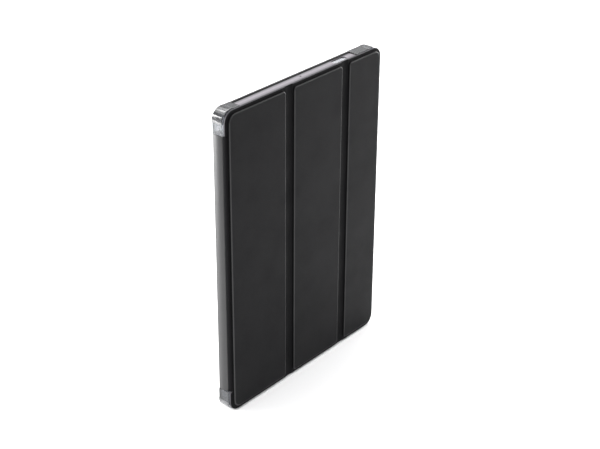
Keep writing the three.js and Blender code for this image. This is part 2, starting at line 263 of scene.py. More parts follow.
@dataclass(frozen=True)
class SmokyCorner(Finish):
    """Clear soft TPU, moulded thick at a corner. Reads smoky where thick and pale where thin at a leg, with
    painted shade low on the legs and painted light on the lowest knuckles.
    """

    thick: str = "#47494e"
    thin: str = "#b9bcc0"
    streak: str = "#26282c"
    cloud: str = "#85888d"
    roughness: float = 0.12
    sheen: float = 0.6
    middle: float = 0.1286  # half the case's height; this and the places below are in metres
    knuckle: Flat = (0.118, 0.1186)  # from the middle: where a knuckle starts, and where it is full
    leg_shade_heights: Flat = (0.24, 0.01)  # heights over which painted shade darkens the legs, from none to most
    leg_shade_depth: float = 0.75  # how far the painted shade takes them from pale to smoky
    foot: Flat = (0.010, 0.005)  # heights over which the lower knuckles turn pale, lit from the surface below

    def shade(self, tree: NodeTree) -> Node:
        """Darkens the proud corner, draws flow streaks, paints shade low on the legs and light on the lowest
        knuckles.

        Args:
            tree: The material's node tree.

        Returns:
            The shader.
        """
        place = self.place(tree)
        height = add_node(tree, "SeparateXYZ", links={"Vector": place}).outputs["Z"]
        lifted = add_node(tree, "Math", {"operation": "SUBTRACT", 1: self.middle}, {0: height})
        upright = add_node(tree, "Math", {"operation": "ABSOLUTE"}, {0: lifted})
        end, painted_leg_shade, low = (
            add_node(
                tree, "MapRange", {"From Min": first, "From Max": last, "To Max": most}, {"Value": source}
            )
            for (first, last), most, source in (
                (self.knuckle, 1.0, upright), (self.leg_shade_heights, self.leg_shade_depth, height), (self.foot, 1.0, height)
            )
        )
        drawn = add_node(tree, "Mapping", {"Scale": (1.0, 1.0, 0.2)}, {"Vector": place})
        streaks = {"Scale": 800.0, "Detail": 3.0, "Distortion": 0.4}
        flow = add_node(tree, "TexNoise", streaks, {"Vector": drawn})
        smoke, pale = (add_node(tree, "ValToRGB", links={"Fac": flow}) for _ in range(2))
        set_ramp(smoke, [(0.35, self.streak), (0.65, self.thick)])
        set_ramp(pale, [(0.2, self.cloud), (0.7, self.thin)])
        # Painted shade: the legs go from pale to smoky towards the bottom.
        legs = add_node(tree, "Mix", {"data_type": "RGBA"}, {0: painted_leg_shade, 6: pale, 7: smoke}).outputs[2]
        # Painted light: the lowest knuckles go pale, as if lit from the surface below.
        knuckles = add_node(tree, "Mix", {"data_type": "RGBA"}, {0: low, 6: smoke, 7: pale}).outputs[2]
        tone = add_node(tree, "Mix", {"data_type": "RGBA"}, {0: end, 6: legs, 7: knuckles}).outputs[2]
        bump = add_node(tree, "Bump", {"Strength": 0.2, "Distance": 0.05 * MM}, {"Height": flow})
        spread = {"To Min": self.roughness - 0.05, "To Max": self.roughness + 0.08}
        gloss = add_node(tree, "MapRange", spread, {"Value": flow})
        sheen = add_node(tree, "Math", {"operation": "MULTIPLY", 1: self.sheen}, {0: end})
        return add_node(
            tree, "BsdfPrincipled",
            {"IOR": 1.5, "Transmission Weight": 0.85, "Coat Roughness": 0.08, "Coat IOR": 1.9},
            {"Base Color": tone, "Roughness": gloss, "Normal": bump, "Coat Weight": sheen},
        )


@dataclass(frozen=True)
class MarkedSurface(Finish):
    """A moulded, pressed, plated or painted surface, whose tone, gloss and relief follow one pattern."""

    colour: str = "#8d898e"
    mark: str = "#7b777d"
    stops: Flat = (0.35, 0.65)  # where the marks end and the plain colour starts
    mark_mm: float = 0.35
    detail: float = 4.0
    fineness: float = 0.6
    swirl: float = 0.0
    stretch: Point = (1.0, 1.0, 1.0)
    roughness: float = 0.42
    spread: Flat = (-0.05, 0.07)  # how far the roughness goes down and up
    relief: Flat = (0.35, 0.02)  # the marks' strength, and their depth in millimetres
    ior: float = 1.5
    specular: float = 0.5
    metallic: float = 0.0
    transmission: float = 0.0
    bands: tuple[tuple[float, str], ...] = ()  # painted shade across a wall, from its lip to its plate
    wall: Flat = (-2.7, 4.5)  # the wall's two edges along Y, in millimetres

    def shade(self, tree: NodeTree) -> Node:
        """Draws the marks, and puts what follows them on the shader.

        Args:
            tree: The material's node tree.

        Returns:
            The shader.
        """
        place = self.place(tree)
        drawn = add_node(tree, "Mapping", {"Scale": self.stretch}, {"Vector": place})
        pattern = {"Scale": 1 / (self.mark_mm * MM), "Detail": self.detail}
        pattern |= {"Roughness": self.fineness, "Distortion": self.swirl}
        marks = add_node(tree, "TexNoise", pattern, {"Vector": drawn})
        tone = add_node(tree, "ValToRGB", links={"Fac": marks})
        set_ramp(tone, [(self.stops[0], self.mark), (self.stops[1], self.colour)])
        # Walls take painted shade on their tone here.
        links = {"Base Color": self.band(tree, place, tone) if self.bands else tone}
        down, up = self.spread
        if down < up:
            spread = {"To Min": self.roughness + down, "To Max": self.roughness + up}
            links["Roughness"] = add_node(tree, "MapRange", spread, {"Value": marks})
        strength, depth = self.relief
        if strength > 0:
            relief = {"Strength": strength, "Distance": depth * MM}
            links["Normal"] = add_node(tree, "Bump", relief, {"Height": marks})
        settings = {"Roughness": self.roughness, "IOR": self.ior, "Specular IOR Level": self.specular}
        settings |= {"Metallic": self.metallic, "Transmission Weight": self.transmission}
        return add_node(tree, "BsdfPrincipled", settings, links)

    def band(
        self, tree: NodeTree, place: NodeSocket, tone: Node
    ) -> NodeSocket:
        """Paints shade on the tone across the wall, darker towards its lip and its plate.

        Args:
            tree: The node tree.
            place: The object's own coordinates.
            tone: The node that gives the tone.

        Returns:
            The shaded tone.
        """
        across = add_node(tree, "SeparateXYZ", links={"Vector": place}).outputs["Y"]
        edges = {"From Min": self.wall[0] * MM, "From Max": self.wall[1] * MM}
        share = add_node(tree, "MapRange", edges, {"Value": across})
        # Painted shade: darker towards the lip and the plate.
        thickness = add_node(tree, "ValToRGB", links={"Fac": share})
        set_ramp(thickness, self.bands)
        multiply = {"data_type": "RGBA", "blend_type": "MULTIPLY", 0: 1.0}
        return add_node(tree, "Mix", multiply, {6: tone, 7: thickness}).outputs[2]


LEATHER = PuLeather("pu_leather_embossed_black")
# Pressed flat with a heated tool: finer than the embossed face. Its darker tone is painted shade, for the
# grooves, crease and border that it covers.
PRESSED_LEATHER_PAINTED_SHADE = PuLeather(
    "pu_leather_heat_pressed_painted_shade", colour="#0b0b0d", pore="#070708", roughness=0.5, relief_mm=0.015,
    gleam=0.06,
)
# Rubbed on a pad's shoulder: catches a thin, brighter line of light.
BURNISHED_LEATHER = PuLeather(
    "pu_leather_burnished_black", colour="#161618", pore="#101011", roughness=0.36, relief_mm=0.01, gleam=0.48
)
# Cut through skin and lining: a thin, lighter grey line round the cover, a painted highlight where the edge
# catches light.
CUT_EDGE_PAINTED_HIGHLIGHT = PuLeather(
    "pu_leather_cut_edge_painted_highlight", colour="#343236", pore="#262428", roughness=0.5, relief_mm=0.02, gleam=0.3
)
# Stretched over the spine: tighter, and glossier than the panels.
SPINE_LEATHER = PuLeather(
    "pu_leather_stretched_black", colour="#141416", pore="#0c0c0d", gleam=0.75, roughness=0.42
)
LINING_CLOTH = Microfibre("microfibre_brushed_grey")
SOFT_CORNER = SmokyCorner("tpu_moulded_clear")
# Moulded clear polycarbonate: reads by its bright edges, a faint tint and the ripple of its flow.
CLEAR_SHEET = MarkedSurface(
    "polycarbonate_moulded_clear", colour="#b4b6b9", mark="#a3a5a9", stops=(0.3, 0.7), mark_mm=9.0,
    detail=3.0, fineness=0.5, swirl=0.6, roughness=0.04, spread=(-0.012, 0.024), relief=(0.3, 0.04),
    ior=1.58, transmission=1.0,
)
# Soft plastic from a spark-eroded mould: an even, fine matte texture that scatters light, under painted shade
# that darkens it towards its lip and its plate.
FROSTED_WALL_PAINTED_SHADE = MarkedSurface(
    "tpu_spark_eroded_frosted_painted_shade",
    bands=((0.0, "#b4b4b4"), (0.3, "#dcdcdc"), (0.52, "#ffffff"), (0.72, "#dedede"), (1.0, "#a6a6a6")),
)
FROSTED_LIP = MarkedSurface("tpu_spark_eroded_grey", colour="#6b686c", mark="#5a575b", roughness=0.4)
BLACK_BEAD = MarkedSurface("tpu_spark_eroded_black", colour="#161517", mark="#0f0e10", roughness=0.5)
# Rolled bonding film: a pale, even matte strip.
BOND = MarkedSurface("bonding_film_rolled", colour="#d8d6d0", mark="#c8c5be", mark_mm=1.2, roughness=0.55)
# Board pressed from paper pulp: flat, fibrous and uncoated.
BOARD = MarkedSurface(
    "grey_board_pressed", colour="#8f8a82", mark="#6f6a63", stops=(0.35, 0.6), mark_mm=1.1111, detail=6.0,
    fineness=0.5, swirl=1.0, roughness=0.93, spread=(0.0, 0.0), relief=(0.4, 0.05),
)
# Nickel plate: bright, its reflections broken up by fine plating marks.
NICKEL = MarkedSurface(
    "nickel_plated", colour="#b9bbbd", mark="#9a9c9f", stops=(0.3, 0.7), mark_mm=1.4286, fineness=0.5,
    roughness=0.25, spread=(-0.08, 0.12), relief=(0.0, 0.0), metallic=1.0,
)
# Rolled steel strip: duller, with marks drawn out along the way it was rolled.
STEEL = MarkedSurface(
    "steel_rolled", colour="#9fa2a5", mark="#808386", stops=(0.3, 0.7), mark_mm=1.4286, fineness=0.5,
    stretch=(1.0, 1.0, 0.05), roughness=0.35, spread=(-0.08, 0.12), relief=(0.0, 0.0), metallic=1.0,
)
# Matte painted floor: a barely uneven white.
FLOOR = MarkedSurface(
    "studio_floor_painted", colour="#f4f4f4", mark="#f1f1f1", stops=(0.0, 1.0), mark_mm=666.7, detail=2.0,
    fineness=0.5, roughness=0.9, spread=(0.0, 0.0), relief=(0.0, 0.0), specular=0.1,
)


# ---- Mesh helpers, in millimetres until the mesh is made ----


def loft(name: str, loops: list[list[Point]]) -> Object:
    """Makes a closed body from loops of points joined one to the next, with a cap at each end.

    Args:
        name: The piece's name.
        loops: Loops with the same number of points, in millimetres.

    Returns:
        The new object, smooth shaded, with its faces pointing out.
    """
    count = len(loops[0])
    body = bmesh.new()
    rows = [[body.verts.new(Vector(point) * MM) for point in loop] for loop in loops]
    for row, following in zip(rows, rows[1:]):
        for i in range(count):
            j = (i + 1) % count
            body.faces.new((row[i], row[j], following[j], following[i]))
    body.faces.new(list(reversed(rows[0])))
    body.faces.new(rows[-1])
    return to_object(name, body)


def to_object(name: str, body: bmesh.types.BMesh) -> Object:
    """Turns a bmesh into a linked object with outward faces.

    Args:
        name: The object's name.
        body: The mesh, which is freed.

    Returns:
        The new object.
    """
    bmesh.ops.recalc_face_normals(body, faces=body.faces)
    for face in body.faces:
        face.smooth = True
    mesh = bpy.data.meshes.new(name)
    body.to_mesh(mesh)
    body.free()
    piece = bpy.data.objects.new(name, mesh)
    bpy.context.scene.collection.objects.link(piece)
    return piece


class Facing(Enum):
    """The plane that a flat piece is drawn in: its first and second directions, and its thickness."""

    BACK = Matrix(((1, 0, 0), (0, 0, 1), (0, 1, 0)))
    TOP = Matrix(((1, 0, 0), (0, 1, 0), (0, 0, 1)))
    SIDE = Matrix(((0, 0, 1), (1, 0, 0), (0, 1, 0)))


def plate(
    name: str,
    loops: list[list[Flat]],
    low: float,
    high: float,
    edge: float,
    facing: Facing = Facing.BACK,
) -> Object:
    """Makes a flat piece with holes and rounded edges.

    Args:
        name: The piece's name.
        loops: The outline, then the holes, in the plane's two directions.
        low: Where its thickness starts.
        high: Where its thickness ends.
        edge: Radius of its edges.
        facing: The plane it is drawn in.

    Returns:
        The new object.
    """
    curve = bpy.data.curves.new(name + "_outline", "CURVE")
    curve.dimensions = "2D"
    curve.fill_mode = "BOTH"
    curve.extrude = (high - low) / 2 - edge
    curve.bevel_depth = edge
    curve.bevel_resolution = 2
    curve.offset = -edge
    for loop in loops:
        spline = curve.splines.new("POLY")
        spline.points.add(len(loop) - 1)
        for point, (u, v) in zip(spline.points, loop):
            point.co = (u, v, 0, 1)
        spline.use_cyclic_u = True
    drawn = bpy.data.objects.new(name + "_outline", curve)
    bpy.context.scene.collection.objects.link(drawn)
    graph = bpy.context.evaluated_depsgraph_get()
    mesh = bpy.data.meshes.new_from_object(drawn.evaluated_get(graph))
    bpy.data.objects.remove(drawn)
    bpy.data.curves.remove(curve)
    body = bmesh.new()
    body.from_mesh(mesh)
    bpy.data.meshes.remove(mesh)
    bmesh.ops.remove_doubles(body, verts=body.verts, dist=WELD)
    bmesh.ops.translate(body, vec=(0, 0, (low + high) / 2), verts=body.verts)
    turn = facing.value.to_4x4()
    bmesh.ops.transform(body, matrix=Matrix.Scale(MM, 4) @ turn, verts=body.verts)
    return to_object(name, body)


@dataclass(frozen=True)
class Outline:
    """A rectangle with one radius on its left corners and another on its right ones."""

    left: float
    right: float
    low: float
    high: float
    left_radius: float
    right_radius: float

    def grown(self, amount: float, left: float | None = None, right: float | None = None) -> "Outline":
        """Returns the outline moved outwards.

        Args:
            amount: How far, in millimetres; negative moves it in.
            left: Another amount for the left side.
            right: Another amount for the right side.
        """
        go_left = amount if left is None else left
        go_right = amount if right is None else right
        return Outline(
            self.left - go_left,
            self.right + go_right,
            self.low - amount,
            self.high + amount,
            max(self.left_radius + go_left, SQUARE),
            max(self.right_radius + go_right, SQUARE),
        )

    def points(self, left_levels: tuple[float, ...] = ()) -> list[Flat]:
        """Returns the points round the outline, from the lower right corner, counter-clockwise.

        Args:
            left_levels: Heights on the left side that get a point of their own.
        """
        corners = [
            (self.right - self.right_radius, self.low + self.right_radius, self.right_radius, -90),
            (self.right - self.right_radius, self.high - self.right_radius, self.right_radius, 0),
            (self.left + self.left_radius, self.high - self.left_radius, self.left_radius, 90),
            (self.left + self.left_radius, self.low + self.left_radius, self.left_radius, 180),
        ]
        found = []
        for index, (x, z, radius, start) in enumerate(corners):
            for step in range(ARC_STEPS):
                angle = math.radians(start + 90 * step / (ARC_STEPS - 1))
                found.append((x + radius * math.cos(angle), z + radius * math.sin(angle)))
            if index == 2:
                found += [(self.left, level) for level in sorted(left_levels, reverse=True)]
        return found


def at_depth(points: list[Flat], depth: float) -> list[Point]:
    """Places flat points at one depth along Y."""
    return [(x, depth, z) for x, z in points]


def quarter(steps: int) -> list[Flat]:
    """Returns the sine and cosine at even steps over a right angle."""
    return [(math.sin(math.pi / 2 * k / steps), math.cos(math.pi / 2 * k / steps)) for k in range(steps + 1)]


def slot_loop(u: float, v: float, width: float, height: float) -> list[Flat]:
    """Returns a slot with round ends, centred on a point, as a loop of points."""
    radius = min(width, height) / 2 - TOUCH
    return Outline(u - width / 2, u + width / 2, v - height / 2, v + height / 2, radius, radius).points()


def box_mm(node: str) -> tuple[Vector, Vector]:
    """Returns a frame node's lowest and highest corners, in millimetres."""
    low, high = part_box(node)
    return low / MM, high / MM


# ---- Putting a piece on its body ----


@dataclass(frozen=True)
class Bend:
    """Two bodies that a soft piece lies between, and the points where one gives way to the other; kept, not
    used to move the piece.
    """

    first: str
    second: str
    start: Point
    end: Point


def fit(
    piece: Object, finish: Finish, replaces: tuple[str, ...], body: str | Bend,
    others: tuple[Finish, ...] = (),
) -> None:
    """Gives a piece its finish and even normals, and puts it on its body; a piece on a bend only has its
    place baked in.

    Args:
        piece: The object, in place.
        finish: Its finish.
        replaces: The frame nodes that it stands for.
        body: The body it rides on, or a bend, which leaves the piece unparented.
        others: The finishes of the faces marked for them, in the order of their marks.
    """
    piece.modifiers.new("normals", "WEIGHTED_NORMAL").keep_sharp = True
    for each in (finish, *others):
        piece.data.materials.append(each.material())
    if isinstance(body, Bend):
        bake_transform(piece)
    else:
        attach(piece, body)
    if replaces:
        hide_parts(*replaces)
    LOG.info("%s: %d faces, %s", piece.name, len(piece.data.polygons), finish.name)


def flat_area(outline: list[Flat]) -> float:
    """Returns the area inside a flat outline, in square millimetres."""
    pairs = zip(outline, outline[1:] + outline[:1])
    return abs(sum(a[0] * b[1] - b[0] * a[1] for a, b in pairs)) / 2


def lay_cloth(piece: Object, flat: Flat, area: float) -> None:
    """Logs a bonded cloth and the size it is cut to.

    Args:
        piece: The cloth.
        flat: Its flat width and length, in millimetres.
        area: Its flat area, in square millimetres; not used.
    """
    LOG.info("%s: cloth cut %.1f x %.1f mm", piece.name, *flat)


def dress_node(node: str, finish: Finish) -> None:
    """Gives a frame node that stays in view, or sealed inside, its finish.

    Args:
        node: The node's name.
        finish: Its finish.
    """
    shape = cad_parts[node]
    shape.data.materials.clear()
    shape.data.materials.append(finish.material())
    LOG.info("%s: frame node, %s", node, finish.name)


def bent_sheet(
    name: str, path: list[Flat], thickness: float, low: float, high: float, edge: float, corner: float = 0.0
) -> Object:
    """Makes a sheet that follows a path in plan, with rounded upper and lower edges.

    Args:
        name: The piece's name.
        path: Points of its outer face in X and Y, with the outside to the right of the way along it.
        thickness: The sheet's thickness.
        low: Its lower edge.
        high: Its upper edge.
        edge: Radius of the outer face's edges.
        corner: Radius of the two corners at the start of the path.

    Returns:
        The new object.
    """
    loops = []
    points = [Vector(point) for point in path]
    for index, point in enumerate(points):
        way = points[min(index + 1, len(points) - 1)] - points[max(index - 1, 0)]
        outward = Vector((way.y, -way.x)).normalized()
        near = max(corner - (point - points[0]).length, 0.0)
        trim = corner - math.sqrt(max(corner**2 - near**2, 0.0))
        bottom, top = low + trim, high - trim
        rounding = [(edge * (1 - sine), edge * (1 - cosine)) for sine, cosine in quarter(3)]
        lower = [(depth, bottom + rise) for depth, rise in rounding]
        upper = [(depth, top - rise) for depth, rise in reversed(rounding)]
        ring = lower + upper + [(thickness, top - SQUARE), (thickness, bottom + SQUARE)]
        loops.append([(point.x - outward.x * depth, point.y - outward.y * depth, z) for depth, z in ring])
    return loft(name, loops)


# ---- Cover ----


@dataclass
class Cover:
    """Three board-filled panels under one skin, with a lining behind, joined by thin folds."""

    face_rings: Point = (9.0, 4.0, 1.8)  # rings on a pad's face, from its middle to its edge
    crown: float = 0.8  # radius of a pad's edge
    crown_steps: int = 6
    bands: tuple[int, int, int] = (3, 8, 15)  # first rings of the burnished, the pressed (painted shade) and the cut-edge (painted highlight) surfaces
    groove: float = 0.45  # how far a fold dips below the border
    foot: float = 0.38  # radius where a pad meets the thin skin
    edge: float = 0.28  # radius of the skin's cut edge
    lining_edge: float = 0.12
    lining_turn: float = 0.08  # how far the lining's edge turns forwards
    skin_turn: float = 0.1  # how far the skin's edge is eased at its back
    skin_lap: float = 0.05  # how far the skin's back sinks into the board
    fold_gap: float = 0.2  # how much thinner the skin is in a fold
    fold_radius: float = 2.6
    outer_pad_radius: float = 6.8
    sheet_radius: float = 8.8
    notch_ramp: float = 0.8
    fold_steps: int = 16
    pads: list[Outline] = field(default_factory=list)
    sheets: list[Outline] = field(default_factory=list)

    def __post_init__(self) -> None:
        """Reads the levels and outlines from the frame."""
        low, high = box_mm("panel_1_skin")
        self.face, self.skin_back = low.y, high.y + self.skin_lap
        self.border = box_mm("fold_strip_1")[0].y
        self.lining_back = box_mm("panel_1_lining")[1].y
        self.bend_low, self.bend_high = (corner.z for corner in box_mm("spine_skin"))
        outer, inner = self.outer_pad_radius - BOARD_INSET, self.fold_radius - BOARD_INSET
        for index, radii in enumerate(((outer, inner), (inner, inner), (inner, outer))):
            start, end = box_mm(f"panel_{index + 1}_board")
            self.pads.append(Outline(start.x, end.x, start.z, end.z, *radii).grown(BOARD_INSET))
        right = box_mm("panel_3_skin")[1].x
        sides = [(pad.left - self.foot, pad.right + self.foot, SQUARE, SQUARE) for pad in self.pads]
        sides[0] = (low.x, sides[0][1], self.sheet_radius, SQUARE)
        sides[2] = (sides[2][0], right, SQUARE, self.sheet_radius)
        self.sheets = [Outline(first, last, low.z, high.z, *radii) for first, last, *radii in sides]

    def notch_levels(self) -> tuple[float, ...]:
        """Returns the heights at which the first panel's left edge steps back beside the spine."""
        ramp = self.notch_ramp
        return (self.bend_low - ramp, self.bend_low, self.bend_high, self.bend_high + ramp)

    def notched(self, index: int, points: list[Flat], inset: float) -> list[Flat]:
        """Cuts the first panel's sheet back beside the spine, where the bend takes over.

        Args:
            index: The panel's place in the cover, from 0.
            points: The sheet's outline.
            inset: How far this loop lies inside the sheet's edge.

        Returns:
            The outline with its left side moved where the bend is.
        """
        if index:
            return points
        back = self.pads[0].left - self.foot
        left = self.sheets[0].left + inset
        low, high = self.bend_low - TOUCH, self.bend_high + TOUCH
        return [(back if abs(x - left) < TOUCH and low < z < high else x, z) for x, z in points]

    def sheet_points(self, index: int, inset: float) -> list[Flat]:
        """Returns a panel's sheet outline moved in, but not along the sides where it meets a fold.

        Args:
            index: The panel's place in the cover, from 0.
            inset: How far to move it in.
        """
        levels = self.notch_levels() if index == 0 else ()
        left, right = (-inset if index == outer else 0.0 for outer in (0, 2))
        outline = self.sheets[index].grown(-inset, left, right)
        return self.notched(index, outline.points(levels), inset)

    def build_skin(self, index: int) -> None:
        """Builds one panel's skin: a raised, round-edged pad on a thin border.

        Args:
            index: The panel's place in the cover, from 0.
        """
        pad = self.pads[index]
        levels = self.notch_levels() if index == 0 else ()
        rings = [(-inset, self.face) for inset in self.face_rings]
        crown, foot = self.crown, self.foot
        crown_turn, edge_turn = quarter(self.crown_steps), quarter(EDGE_STEPS)
        rings += [(-crown * (1 - sine), self.face + crown * (1 - cosine)) for sine, cosine in crown_turn]
        rings += [(foot * (1 - cosine), self.border - foot * (1 - sine)) for sine, cosine in edge_turn]
        loops = [at_depth(pad.grown(out).points(levels), depth) for out, depth in rings]
        for sine, cosine in edge_turn:
            ring = self.sheet_points(index, self.edge * (1 - sine))
            loops.append(at_depth(ring, self.border + self.edge * (1 - cosine)))
        loops.append(at_depth(self.sheet_points(index, 0.0), self.skin_back - self.skin_turn))
        loops.append(at_depth(self.sheet_points(index, self.skin_turn), self.skin_back))
        body = f"panel_{index + 1}"
        piece = loft(body + "_leather_skin", loops)
        # Rings past the face take the burnished finish, then the pressed one with its painted shade, then the
        # cut edge with its painted highlight.
        for face in piece.data.polygons:
            band = face.index // len(loops[0])
            face.material_index = sum(band >= start for start in self.bands) if band < len(loops) - 1 else 0
        others = (BURNISHED_LEATHER, PRESSED_LEATHER_PAINTED_SHADE, CUT_EDGE_PAINTED_HIGHLIGHT)
        fit(piece, LEATHER, (body + "_skin",), body, others)

    def declare_lining(self, index: int, piece: Object) -> None:
        """Logs the cut size of a panel's lining.

        Args:
            index: The panel's place in the cover, from 0.
            piece: Its lining.
        """
        outline = self.sheet_points(index, GLUE)
        width, length = (max(axis) - min(axis) for axis in zip(*outline))
        lay_cloth(piece, (width, length), flat_area(outline))

    def build_lining(self, index: int) -> Object:
        """Builds one panel's lining, with a soft edge.

        Args:
            index: The panel's place in the cover, from 0.

        Returns:
            The lining.
        """
        front = self.skin_back + GLUE
        loops = [at_depth(self.sheet_points(index, self.skin_turn), front)]
        loops.append(at_depth(self.sheet_points(index, GLUE), front + self.lining_turn))
        for sine, cosine in quarter(3):
            ring = self.sheet_points(index, self.lining_edge * (1 - cosine) + GLUE)
            loops.append(at_depth(ring, self.lining_back - self.lining_edge * (1 - sine)))
        piece = loft(f"panel_{index + 1}_microfibre", loops)
        fit(piece, LINING_CLOTH, (f"panel_{index + 1}_lining",), f"panel_{index + 1}")
        return piece

    def build_fold(self, index: int) -> Object:
        """Builds the thin skin and lining in the groove after a panel.

        Args:
            index: The panel's place in the cover, from 0.

        Returns:
            The lining.
        """
        left = self.pads[index].right + self.foot
        right = self.pads[index + 1].left - self.foot
        steps = self.fold_steps
        dips = [self.groove * math.sin(math.pi * k / steps) for k in range(steps + 1)]
        path = [(left + (right - left) * k / steps, self.border + dip) for k, dip in enumerate(dips)]
        low, high = self.sheets[0].low, self.sheets[0].high
        strip_low, strip_high = box_mm(f"fold_strip_{index + 1}")
        start, end = (strip_low.x, self.border, low), (strip_high.x, self.border, low)
        bend = Bend(f"panel_{index + 1}", f"panel_{index + 2}", start, end)
        thin = self.skin_back - self.border - self.fold_gap
        skin = bent_sheet(f"fold_{index + 1}_leather", path, thin, low, high, self.edge)
        # The fold's skin carries painted shade, darker in the groove.
        fit(skin, PRESSED_LEATHER_PAINTED_SHADE, (f"fold_strip_{index + 1}",), bend)
        inner = [(x, self.skin_back + GLUE) for x, _ in path]
        depth = self.lining_back - self.skin_back - GLUE
        lining = bent_sheet(f"fold_{index + 1}_microfibre", inner, depth, low, high, self.lining_edge)
        fit(lining, LINING_CLOTH, (), bend)
        return lining

    def dress_inside(self) -> None:
        """Gives the boards, magnets and catch plates their finishes."""
        for index in (1, 2, 3):
            dress_node(f"panel_{index}_board", BOARD)
        for side in ("upper", "lower"):
            dress_node("closure_magnet_" + side, NICKEL)
            dress_node("catch_plate_" + side, STEEL)
        dress_node("wake_magnet", NICKEL)

    def build(self) -> None:
        """Builds the whole cover."""
        for index in range(3):
            self.build_skin(index)
        linings = [self.build_lining(index) for index in range(3)]
        folds = [self.build_fold(index) for index in range(2)]
        for index, piece in enumerate(linings):
            self.declare_lining(index, piece)
        self.dress_inside()


# ---- Spine ----


@dataclass
class Spine:
    """The skin that runs from the tray's back, round a stiffened spine, to the first panel."""

    bulge: float = 0.35  # how far the spine swells outwards behind its middle
    tuck: float = 1.4  # how far it curves in towards the first panel
    radius: float = 3.0
    strip_corner: float = 4.0
    edge: float = 0.25
    skin: float = 0.7
    board: float = 0.25
    lining: float = 0.48
    steps: int = 10
    side_steps: int = 12
    lining_steps: int = 8
    lining_pitch: float = 0.9  # between the points of the lining's straight part
    lining_edge: float = 0.12
    lining_gap: float = 0.05  # the board's back to the lining, and the lining's clearance in the bends
    board_edge: float = 0.1
    board_share: Flat = (0.06, 0.88)  # where the board starts along the side, and how much it covers
    board_steps: int = 8
    foot_gap: float = 0.42  # the first pad's edge to the end of the front bend
    strip_rings: tuple[float, ...] = (0.0, 0.1, 0.35, 0.8, 1.4, 2.2, 3.1, 4.0, 8.0, 16.0, 24.0)
    bend_start: Flat = (1.1, 1.55)  # where the front bend starts, from the side and the border
    bend_end: Flat = (-0.7, 0.35)  # where it ends, from its centre and the border

    def __post_init__(self) -> None:
        """Reads the spine's place from the frame."""
        low, high = box_mm("spine_skin")
        self.outer, self.low, self.high = low.x, low.z, high.z
        self.front, self.rear = low.y, high.y
        self.centre = self.outer + self.radius
        self.strip_end = box_mm("back_strip_skin")[1].x
        self.strip_face = box_mm("back_strip_skin")[1].y
        self.board_back = box_mm("spine_board")[1].x
        self.border = box_mm("fold_strip_1")[0].y
        self.bend_stop = box_mm("panel_1_board")[0].x - BOARD_INSET - self.foot_gap

    def profile(self, share: float) -> float:
        """Returns the place along X of the spine's outer face, from its rear (0) to its front (1)."""
        return self.outer - self.bulge * math.sin(math.pi * share) + self.tuck * share**2

    def along(self, share: float, depth: float = 0.0) -> Flat:
        """Returns a point of the spine's side, at a depth under its outer face."""
        return (self.profile(share) + depth, self.rear + (self.front - self.rear) * share)

    def build_skin(self) -> None:
        """Builds the back strip, the rear bend and the gently bulged spine as one sheet."""
        path = [(self.strip_end - gone, self.strip_face) for gone in self.strip_rings]
        centre, radius = self.centre, self.radius
        turn = quarter(self.steps)
        path += [(centre - radius * sine, self.rear + radius * cosine) for sine, cosine in turn]
        path += [self.along(k / self.side_steps) for k in range(1, self.side_steps + 1)]
        piece = bent_sheet(
            "spine_leather", path, self.skin, self.low, self.high, self.edge, self.strip_corner
        )
        start, end = (centre, self.strip_face, self.low), (self.outer, self.rear, self.low)
        bend = Bend("tray", "spine", start, end)
        for face in piece.data.polygons:
            face.material_index = int(face.center.x > centre * MM)
        replaced = ("spine_skin", "rear_bend_strip", "back_strip_skin")
        fit(piece, SPINE_LEATHER, replaced, bend, (LEATHER,))

    def build_front_bend(self) -> None:
        """Builds the skin and the lining that turn from the spine on to the first panel."""
        start = (self.outer + self.bend_start[0], self.border + self.bend_start[1], self.low)
        end = (self.centre + self.bend_end[0], self.border + self.bend_end[1], self.low)
        bend = Bend("spine", "panel_1", start, end)
        reach = self.centre - self.profile(1.0)
        path = [
            (self.centre - reach * cosine, self.front - (self.front - self.border) * sine)
            for sine, cosine in quarter(self.steps)
        ]
        path.append((self.bend_stop, self.border))
        thickness = self.skin + self.lining_gap
        skin = bent_sheet("front_bend_leather", path, thickness, self.low, self.high, self.edge)
        # The bend's skin carries painted shade, darker in the crease.
        fit(skin, PRESSED_LEATHER_PAINTED_SHADE, ("front_bend_strip",), bend)
        inside = self.board_back + self.lining_gap
        straight = range(self.lining_steps)
        path = [(inside, self.rear - 2 * self.lining_gap - self.lining_pitch * k) for k in straight]
        start_radius = self.centre - inside
        end_radius = self.radius - self.skin - self.lining_gap - GLUE
        for k, (sine, cosine) in enumerate(quarter(self.steps)):
            radius = start_radius + (end_radius - start_radius) * k / self.steps
            path.append((self.centre - radius * cosine, self.front - radius * sine))
        path.append((self.bend_stop, self.front - end_radius))
        lining = bent_sheet("spine_microfibre", path, self.lining, self.low, self.high, self.lining_edge)
        fit(lining, LINING_CLOTH, ("spine_lining",), bend)
        run = sum((Vector(a) - Vector(b)).length for a, b in zip(path, path[1:]))
        lay_cloth(lining, (run, self.high - self.low), run * (self.high - self.low))

    def build_board(self) -> None:
        """Builds the board that stiffens the spine, curved as its skin is."""
        low, high = box_mm("spine_board")
        start, run = self.board_share
        shares = [start + run * k / self.board_steps for k in range(self.board_steps + 1)]
        path = [self.along(share, self.skin + GLUE) for share in shares]
        board = bent_sheet("spine_board_curved", path, self.board, low.z, high.z, self.board_edge)
        fit(board, BOARD, ("spine_board",), "spine")

    def build(self) -> None:
        """Builds the spine."""
        self.build_skin()
        self.build_front_bend()
        self.build_board()


# ---- Tray ----


